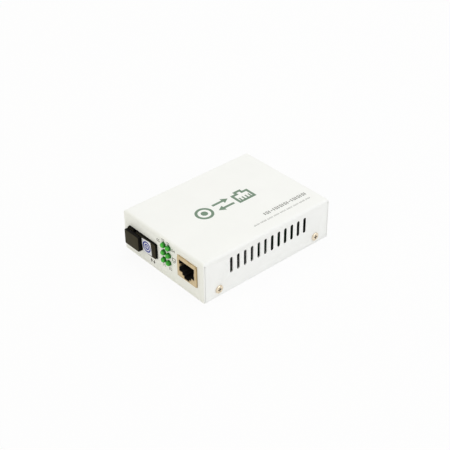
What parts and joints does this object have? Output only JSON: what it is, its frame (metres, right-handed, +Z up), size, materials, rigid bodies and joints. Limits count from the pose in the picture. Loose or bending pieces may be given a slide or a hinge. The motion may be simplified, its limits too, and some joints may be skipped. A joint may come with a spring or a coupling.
{
  "type": "fibre media converter",
  "caption": "Folded steel box with a fibre port under a dust cap, lamps and a shielded data socket in front, slotted side vents and a round power inlet behind.",
  "frame": {"origin": "centre of the underside of the case, midway between its sides and its end panels", "axes": "+X to the right when facing the front panel, +Y from the front panel to the rear panel, +Z up"},
  "size_m": [0.0716, 0.0979, 0.026],
  "materials": {
    "cover_paint": "white powder coat, fine texture",
    "base_paint": "white powder coat",
    "screw_nickel": "warm nickel plate",
    "board_screw_steel": "zinc plate",
    "post_brass": "plain",
    "board_green": "green solder mask",
    "shield_metal": "dull tinned brass",
    "jack_plastic": "black moulding",
    "contact_gold": "gold flash",
    "optic_plastic": "black moulding",
    "latch_plastic": "natural moulding",
    "sleeve_ceramic": "white ceramic",
    "can_steel": "bright",
    "pin_tin": "tin plate",
    "cap_rubber": "black, satin",
    "sticker_paper": "white paper with a blue stamp",
    "lamp_green": "green diffused lens",
    "holder_plastic": "black moulding",
    "inlet_plastic": "black moulding",
    "package_black": "moulded package",
    "capacitor_sleeve": "printed sleeve",
    "ceramic_chip": "ceramic"
  },
  "bodies": {
    "chassis": {"alignment_sleeve": "sleeve_ceramic", "base_plate": "base_paint", "board_posts": "post_brass", "board_screws": "board_screw_steel", "bulk_capacitors": "capacitor_sleeve", "chip_components": "ceramic_chip", "circuit_board": "board_green", "controller_leads": "pin_tin", "cover_screws": "screw_nickel", "crystal_can": "can_steel", "dc_inlet_body": "inlet_plastic", "dc_inlet_pin": "pin_tin", "dc_inlet_terminals": "pin_tin", "ethernet_jack_carrier": "jack_plastic", "ethernet_jack_contacts": "contact_gold", "ethernet_jack_housing": "jack_plastic", "ethernet_jack_shield": "shield_metal", "fibre_port_latch": "latch_plastic", "inspection_sticker": "sticker_paper", "isolation_transformer": "package_black", "lamp_holder": "holder_plastic", "lamp_leads": "pin_tin", "media_controller_chip": "package_black", "optical_subassembly": "can_steel", "power_inductor": "package_black", "status_lamp_1": "lamp_green", "status_lamp_2": "lamp_green", "status_lamp_3": "lamp_green", "status_lamp_4": "lamp_green", "status_lamp_5": "lamp_green", "status_lamp_6": "lamp_green", "top_cover": "cover_paint", "transceiver_board": "board_green", "transceiver_housing": "optic_plastic", "transceiver_pins": "pin_tin", "transformer_leads": "pin_tin", "voltage_regulator": "package_black"},
    "cap": {"dust_cap": "cap_rubber"}
  },
  "joints": [
    {"name": "dust_cap_pull", "type": "slide", "parent": "chassis", "child": "cap", "axis": [0, -1, 0], "range_m": [0, 0.015]}
  ]
}
